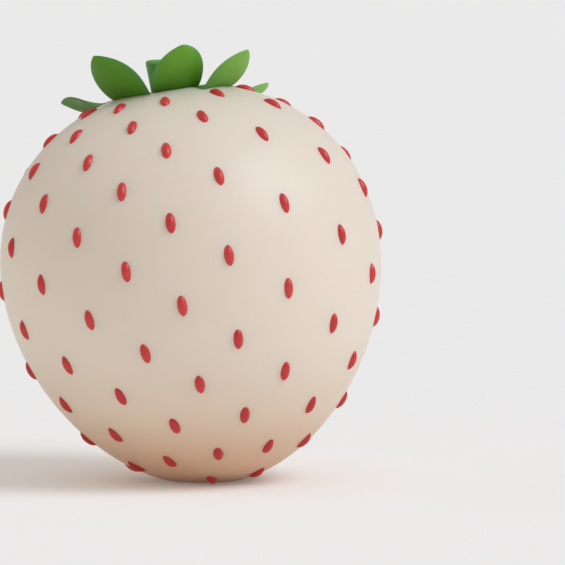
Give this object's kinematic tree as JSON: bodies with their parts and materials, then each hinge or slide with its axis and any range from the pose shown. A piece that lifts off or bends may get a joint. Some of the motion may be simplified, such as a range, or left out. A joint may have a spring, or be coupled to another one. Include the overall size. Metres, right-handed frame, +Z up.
{
  "type": "strawberry",
  "caption": "Whole white-fleshed strawberry with raised red seeds, a green leafy calyx and a short cut stem, standing on a small flat spot beside its blunt tip.",
  "frame": {"origin": "middle of the small flat spot that the fruit stands on", "axes": "+Z up, from the flat spot to the stem end; the fruit's own axis leans 8.7 degrees to -X and 5.5 degrees to +Y; -Y is the side that the picture shows"},
  "size_m": [0.0354, 0.0356, 0.0411],
  "materials": {
    "flesh": "smooth satin fruit skin, cream white",
    "seeds": "smooth satin, red",
    "calyx": "smooth matte leaf, green"
  },
  "bodies": {
    "root": {"flesh": "flesh", "calyx": "calyx"}
  },
  "joints": []
}
